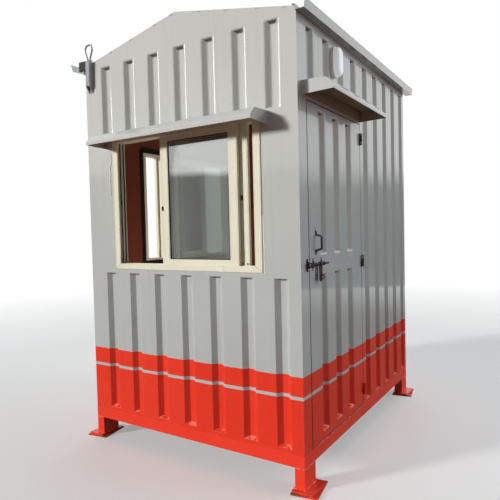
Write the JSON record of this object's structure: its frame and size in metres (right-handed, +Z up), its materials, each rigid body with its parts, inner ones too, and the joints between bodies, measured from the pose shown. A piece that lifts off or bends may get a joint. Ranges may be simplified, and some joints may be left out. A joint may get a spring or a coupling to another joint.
{
  "type": "security guard booth",
  "caption": "Small steel guard booth on short legs with pressed sheet walls, a pitched roof, a hinged side door with a slide bolt, sliding windows and sheet hoods.",
  "frame": {"origin": "middle of the outline on the ground, under the packing plates", "axes": "+Z up, +X to the side with the door, -Y to the front with the hooded window"},
  "size_m": [1.907, 2.196, 2.696],
  "materials": {
    "cream_paint": "satin",
    "red_paint": "satin",
    "grey_primer": "matte",
    "bare_aluminium": "satin",
    "galvanised": "satin",
    "rusty_steel": "matte",
    "lining_board": "satin",
    "floor_wood": "matte",
    "white_plastic": "satin",
    "window_glass": "gloss"
  },
  "bodies": {
    "cabin": {"base_frame": "red_paint", "bolt_keeper": "rusty_steel", "ceiling_board": "lining_board", "corner_posts": "cream_paint", "door_frame": "cream_paint", "door_hood": "cream_paint", "door_stops": "cream_paint", "eave_block": "rusty_steel", "end_linings": "lining_board", "floor_board": "floor_wood", "floor_joists": "red_paint", "foot_plates": "red_paint", "front_wall_lower": "cream_paint", "front_wall_sides": "cream_paint", "front_wall_upper": "cream_paint", "front_window_frame": "bare_aluminium", "front_window_glass": "window_glass", "front_window_sashes": "bare_aluminium", "gutter_left": "cream_paint", "gutter_right": "cream_paint", "hinge_lower_halves": "rusty_steel", "lamp_base": "white_plastic", "lamp_diffuser": "white_plastic", "left_wall_ends": "cream_paint", "left_wall_lower": "cream_paint", "left_wall_upper": "cream_paint", "legs": "red_paint", "lifting_loop": "cream_paint", "packing_plates": "grey_primer", "rear_wall": "cream_paint", "right_wall_over_door": "cream_paint", "right_wall_rear": "cream_paint", "roof_sheet": "cream_paint", "side_linings": "lining_board", "side_window_frame": "bare_aluminium", "side_window_glass": "window_glass", "side_window_sashes": "bare_aluminium", "window_hood": "cream_paint"},
    "door": {"door_leaf": "cream_paint", "door_inner_sheet": "cream_paint", "door_pull": "galvanised", "bolt_guides": "rusty_steel", "hinge_upper_halves": "rusty_steel"},
    "bolt": {"bolt_rod": "rusty_steel", "bolt_tongue": "rusty_steel"}
  },
  "joints": [
    {"name": "door_hinge", "type": "hinge", "parent": "cabin", "child": "door", "pos_m": [0.7871, -0.028, 1.175], "axis": [0, 0, 1], "range_deg": [0, 105]},
    {"name": "bolt_slide", "type": "slide", "parent": "door", "child": "bolt", "axis": [0, -1, 0], "range_m": [0, 0.03]}
  ]
}
